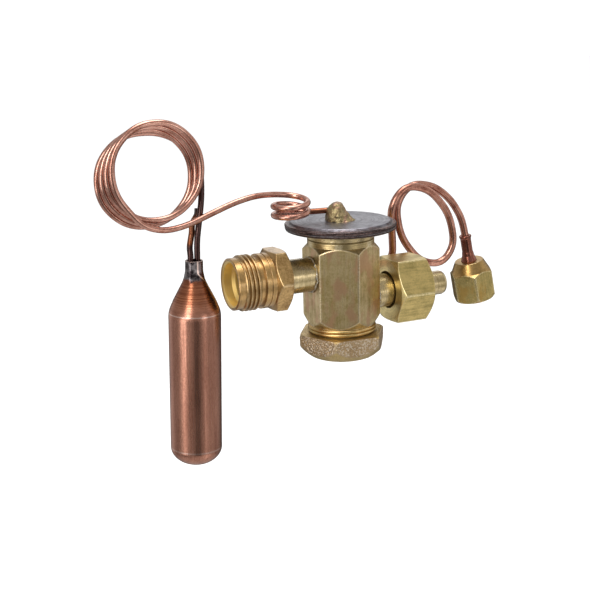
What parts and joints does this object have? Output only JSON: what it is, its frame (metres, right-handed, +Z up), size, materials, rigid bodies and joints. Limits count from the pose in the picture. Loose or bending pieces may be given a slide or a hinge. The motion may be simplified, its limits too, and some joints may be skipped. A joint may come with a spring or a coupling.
{
  "type": "thermostatic expansion valve",
  "caption": "Thermostatic expansion valve with a flat power head, coiled capillary and sensing bulb, external equaliser tube, threaded inlet and captive union nut.",
  "frame": {"origin": "on the inlet's axis, where the straight land of the inlet's pilot bore begins", "axes": "X runs along the inlet and outlet and +X points from the inlet towards the outlet; +Z points up, from the seal cap to the power head; +Y points away from the pictured front"},
  "size_m": [0.1703, 0.0455, 0.1281],
  "materials": {
    "body_brass": "satin drawn bar, olive brass",
    "collar_brass": "turned, bright",
    "cap_brass": "grit-blasted forging",
    "inlet_brass": "turned, warm golden",
    "pipe_brass": "turned satin",
    "nut_brass": "satin, yellow-green",
    "flare_brass": "turned satin",
    "braze_gold": "rough, mottled",
    "braze_silver": "ragged, semi-bright",
    "pin_steel": "ground",
    "spring_steel": "drawn wire",
    "head_steel": "circular brush marks, heat-tinted rim",
    "screen_steel": "woven",
    "gasket_grey": "dull",
    "packing_white": "matt",
    "ring_rubber": "matt",
    "capillary_copper": "polished copper",
    "equaliser_copper": "darker polished copper",
    "bulb_copper": "satin drawn copper"
  },
  "bodies": {
    "valve": {"valve_body": "body_brass", "valve_seat": "pin_steel", "superheat_spring": "spring_steel", "adjuster_housing": "collar_brass", "stem_packing": "packing_white", "packing_gland": "body_brass", "head_gasket": "gasket_grey", "head_lower_cover": "head_steel", "diaphragm": "head_steel", "head_upper_cover": "head_steel", "braze_lump": "braze_gold", "inlet_pipe": "pipe_brass", "inlet_seam": "braze_silver", "inlet_adapter": "inlet_brass", "inlet_screen": "screen_steel", "outlet_tail": "pipe_brass", "outlet_seam": "braze_silver", "outlet_ring": "ring_rubber", "capillary_tube": "capillary_copper", "sensing_bulb": "bulb_copper", "neck_solder": "braze_silver", "charge_tube": "capillary_copper", "equaliser_tube": "equaliser_copper", "equaliser_seam": "braze_silver", "equaliser_sleeve": "equaliser_copper"},
    "pin_group": {"buffer_plate": "pin_steel", "push_pin_front": "pin_steel", "push_pin_rear": "pin_steel", "pin_carrier": "pin_steel", "valve_pin": "pin_steel"},
    "seat_nut": {"spring_seat": "body_brass"},
    "stem": {"adjusting_stem": "pin_steel"},
    "cap_seal": {"cap_gasket": "gasket_grey"},
    "cap": {"seal_cap": "cap_brass"},
    "outlet_nut": {"union_nut": "nut_brass"},
    "equaliser_nut": {"flare_nut": "flare_brass"}
  },
  "joints": [
    {"name": "pin_stroke", "type": "slide", "parent": "valve", "child": "pin_group", "axis": [0, 0, -1], "range_m": [0, 0.0008], "stiffness_N_per_m": 2000, "springref_m": -0.0004, "deforming": ["superheat_spring"]},
    {"name": "stem_turn", "type": "hinge", "parent": "valve", "child": "stem", "pos_m": [0.0444, 0, -0.024], "axis": [0, 0, 1], "range_deg": [-432, 432]},
    {"name": "spring_seat_travel", "type": "slide", "parent": "valve", "child": "seat_nut", "axis": [0, 0, 1], "range_m": [-0.00121, 0.00121]},
    {"name": "cap_travel", "type": "slide", "parent": "valve", "child": "cap_seal", "axis": [0, 0, -1], "range_m": [0, 0.0061]},
    {"name": "cap_turn", "type": "hinge", "parent": "cap_seal", "child": "cap", "pos_m": [0.0444, 0, -0.028], "axis": [0, 0, -1], "range_deg": [0, 1440]},
    {"name": "union_nut_spin", "type": "hinge", "parent": "valve", "child": "outlet_nut", "pos_m": [0.0714, 0, -0.01], "axis": [1, 0, 0], "continuous": true},
    {"name": "flare_nut_spin", "type": "hinge", "parent": "valve", "child": "equaliser_nut", "pos_m": [0.11336, 0.016, -0.01496], "axis": [-0.1874, 0, 0.9823], "continuous": true}
  ],
  "couplings": [
    {"joint": "spring_seat_travel", "follows": "stem_turn", "m_per_rad": 0.00015915},
    {"joint": "cap_travel", "follows": "cap_turn", "m_per_rad": 0.00023873}
  ]
}
